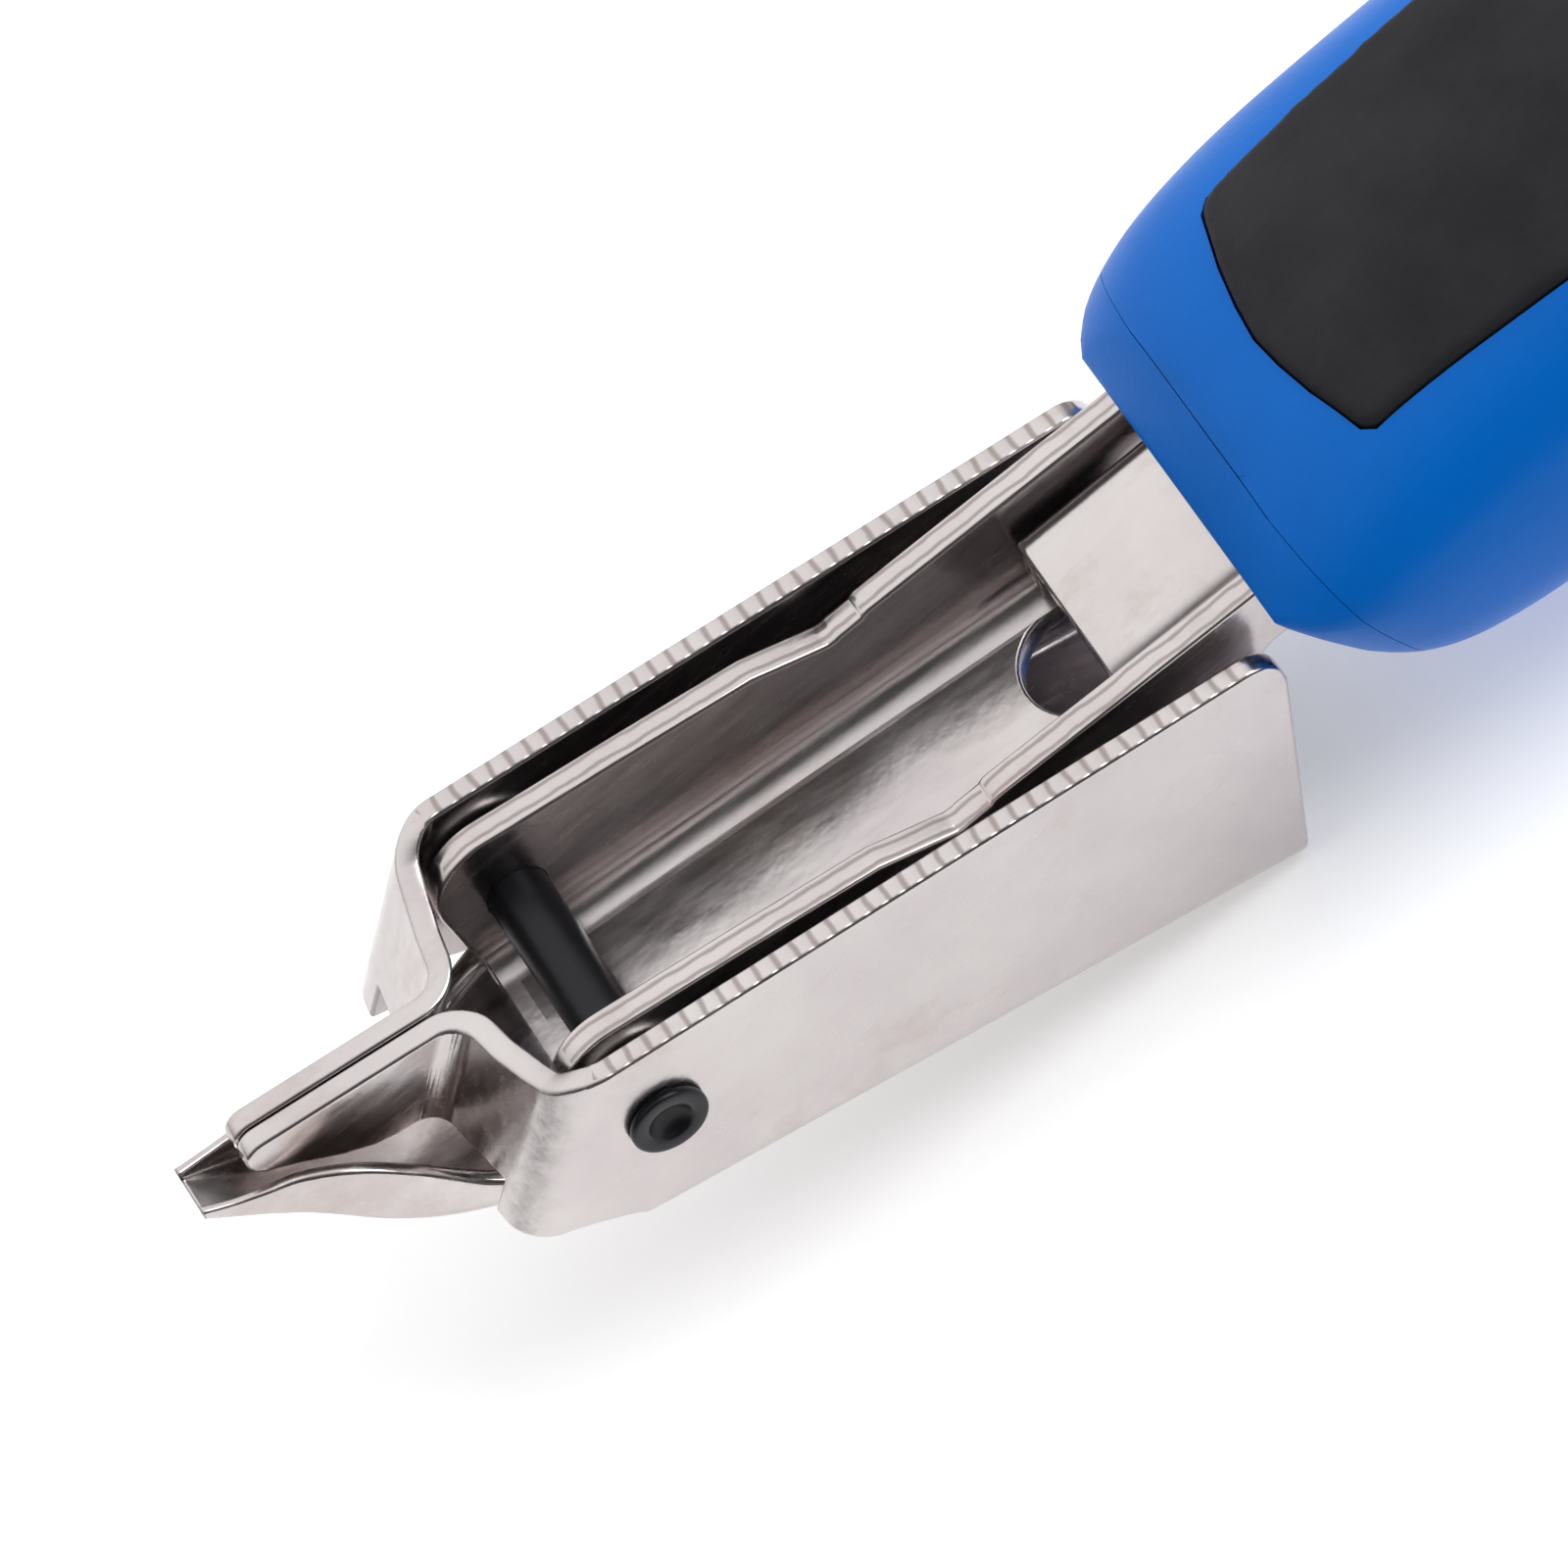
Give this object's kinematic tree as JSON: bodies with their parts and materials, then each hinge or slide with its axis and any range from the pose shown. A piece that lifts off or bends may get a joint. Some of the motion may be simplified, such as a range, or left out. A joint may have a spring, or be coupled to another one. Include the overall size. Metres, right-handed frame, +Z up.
{
  "type": "heavy-duty staple remover",
  "caption": "Hand staple remover: plated steel jaw channel with a nose, a sprung lever with a scoop-shaped tongue, and a plastic handle with a rubber grip pad.",
  "frame": {"origin": "centre of the bounding box, on the surface the tool stands on", "axes": "+X from the nose to the handle's tail, +Z up, out of the open side of the jaw channel, Y across, along the pivot pin"},
  "size_m": [0.17, 0.0276, 0.024],
  "materials": {
    "plated_steel": "bright nickel plating on stamped sheet",
    "black_steel": "black oxide, satin",
    "spring_steel": "drawn steel",
    "handle_plastic": "semi-gloss moulded plastic, blue",
    "grip_rubber": "matt moulded rubber, near black"
  },
  "bodies": {
    "grip": {"lever": "plated_steel", "handle_tang": "plated_steel", "tang_rivet_front": "spring_steel", "tang_rivet_rear": "spring_steel", "return_spring": "spring_steel", "handle_upper_shell": "handle_plastic", "handle_lower_shell": "handle_plastic", "grip_pad": "grip_rubber", "handle_screw_front": "black_steel", "handle_screw_rear": "black_steel"},
    "jaw": {"jaw_channel": "plated_steel", "pivot_pin": "black_steel", "pivot_washer_left": "spring_steel", "pivot_washer_right": "spring_steel", "spring_post": "spring_steel"}
  },
  "joints": [
    {"name": "squeeze", "type": "hinge", "parent": "grip", "child": "jaw", "pos_m": [-0.06553, 0, 0.01707], "axis": [0, -1, 0], "range_deg": [0, 6], "stiffness_Nm_per_rad": 2.4, "springref_deg": -5.96, "deforming": ["return_spring"]}
  ]
}
